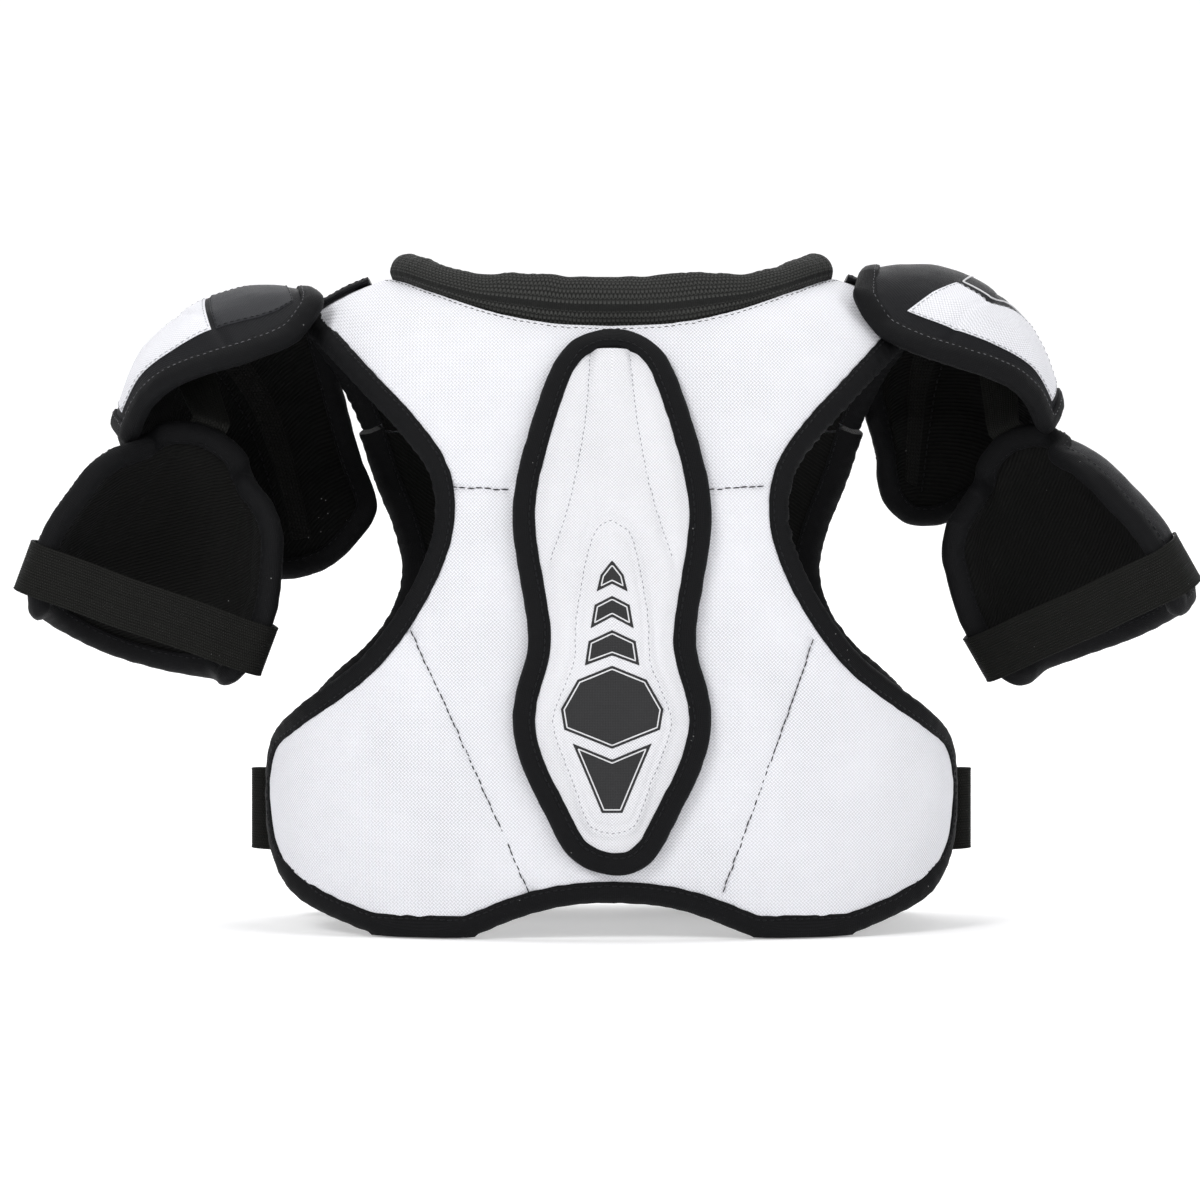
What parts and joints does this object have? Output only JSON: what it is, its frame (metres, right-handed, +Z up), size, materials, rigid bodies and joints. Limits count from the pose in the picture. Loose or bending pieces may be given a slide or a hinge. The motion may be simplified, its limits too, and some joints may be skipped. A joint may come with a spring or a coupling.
{
  "type": "ice hockey shoulder pads",
  "caption": "Padded ice hockey shoulder pads: white back and chest panels with black bound edges, spine pad, collar, hinged shoulder caps, upper-arm guards and elastic straps.",
  "frame": {"origin": "bottom centre of the assembly, on the torso's plane of symmetry and on the plane the hems stand on", "axes": "+X to the wearer's right, +Y to the wearer's front (the back panel faces -Y), +Z up"},
  "size_m": [0.6186, 0.2372, 0.3489],
  "materials": {
    "white_weave": "white basket-weave polyester, laminated",
    "black_binding": "black knitted binding tape over a padded edge",
    "black_lining": "black brushed knit lining",
    "black_mesh": "black spacer mesh",
    "foam": "closed-cell foam",
    "plastic_plate": "semi-rigid moulded plastic",
    "elastic": "ribbed woven elastic",
    "hook_loop": "hook and loop tape",
    "applique": "charcoal laminated fabric with a light outline"
  },
  "bodies": {
    "back": {"back_binding": "black_binding", "back_cover": "white_weave", "back_foam": "foam", "back_liner": "black_lining", "cap_tether_left": "elastic", "cap_tether_right": "elastic", "collar_back": "black_mesh", "side_anchor_left": "elastic", "side_anchor_right": "elastic", "spine_badge": "applique", "spine_binding": "black_binding", "spine_chevron_low": "applique", "spine_chevron_mid": "applique", "spine_chevron_top": "applique", "spine_insert": "plastic_plate", "spine_pad": "white_weave", "spine_shield": "applique", "yoke_binding_left": "black_binding", "yoke_binding_right": "black_binding", "yoke_left": "white_weave", "yoke_right": "white_weave"},
    "chest": {"chest_binding": "black_binding", "chest_cover": "white_weave", "chest_foam": "foam", "chest_liner": "black_lining", "collar_front": "black_mesh", "loop_patch_left": "hook_loop", "loop_patch_right": "hook_loop", "sternum_binding": "black_binding", "sternum_insert": "plastic_plate", "sternum_pad": "white_weave"},
    "side_strap_left": {"side_hook_left": "hook_loop", "side_strap_left": "elastic"},
    "cap_left": {"cap_binding_left": "black_binding", "cap_cover_left": "white_weave", "cap_liner_left": "black_lining", "cap_shell_left": "plastic_plate"},
    "arm_link_left": {"arm_link_left": "elastic"},
    "guard_left": {"arm_anchor_left": "elastic", "guard_binding_left": "black_binding", "guard_cover_left": "white_weave", "guard_liner_left": "black_lining", "guard_shell_left": "plastic_plate"},
    "arm_strap_left": {"arm_hook_left": "hook_loop", "arm_strap_left": "elastic"},
    "side_strap_right": {"side_hook_right": "hook_loop", "side_strap_right": "elastic"},
    "cap_right": {"cap_binding_right": "black_binding", "cap_cover_right": "white_weave", "cap_liner_right": "black_lining", "cap_shell_right": "plastic_plate"},
    "arm_link_right": {"arm_link_right": "elastic"},
    "guard_right": {"arm_anchor_right": "elastic", "guard_binding_right": "black_binding", "guard_cover_right": "white_weave", "guard_liner_right": "black_lining", "guard_shell_right": "plastic_plate"},
    "arm_strap_right": {"arm_hook_right": "hook_loop", "arm_strap_right": "elastic"}
  },
  "joints": [
    {"name": "chest_fold", "type": "hinge", "parent": "back", "child": "chest", "pos_m": [0, 0.09257, 0.2658], "axis": [1, 0, 0], "range_deg": [0, 30]},
    {"name": "side_strap_left_swing", "type": "hinge", "parent": "back", "child": "side_strap_left", "pos_m": [-0.1863, -0.00053, 0.059], "axis": [0, 0, 1], "range_deg": [0, 100]},
    {"name": "cap_left_lift", "type": "hinge", "parent": "back", "child": "cap_left", "pos_m": [-0.157, 0.00157, 0.322], "axis": [0, 1, 0], "range_deg": [0, 20]},
    {"name": "arm_left_raise", "type": "hinge", "parent": "cap_left", "child": "arm_link_left", "pos_m": [-0.25035, -0.03753, 0.25439], "axis": [0, 1, 0], "range_deg": [0, 25]},
    {"name": "guard_left_swing", "type": "hinge", "parent": "arm_link_left", "child": "guard_left", "pos_m": [-0.21, -0.01936, 0.26108], "axis": [0.9187, 0.2078, -0.3358], "range_deg": [-2, 15]},
    {"name": "arm_strap_left_open", "type": "hinge", "parent": "guard_left", "child": "arm_strap_left", "pos_m": [-0.18196, -0.03809, 0.14307], "axis": [0.35, -0.0349, 0.9361], "range_deg": [0, 75]},
    {"name": "side_strap_right_swing", "type": "hinge", "parent": "back", "child": "side_strap_right", "pos_m": [0.1863, -0.00053, 0.059], "axis": [0, 0, -1], "range_deg": [0, 100]},
    {"name": "cap_right_lift", "type": "hinge", "parent": "back", "child": "cap_right", "pos_m": [0.129, -0.00143, 0.334], "axis": [0, -1, 0], "range_deg": [0, 20]},
    {"name": "arm_right_raise", "type": "hinge", "parent": "cap_right", "child": "arm_link_right", "pos_m": [0.23437, -0.03513, 0.25132], "axis": [0, -1, 0], "range_deg": [0, 25]},
    {"name": "guard_right_swing", "type": "hinge", "parent": "arm_link_right", "child": "guard_right", "pos_m": [0.20708, -0.00641, 0.25871], "axis": [0.7126, -0.6004, 0.363], "range_deg": [-2, 15]},
    {"name": "arm_strap_right_open", "type": "hinge", "parent": "guard_right", "child": "arm_strap_right", "pos_m": [0.19547, 0.00895, 0.1375], "axis": [0.4988, 0.0696, -0.8639], "range_deg": [0, 75]}
  ]
}
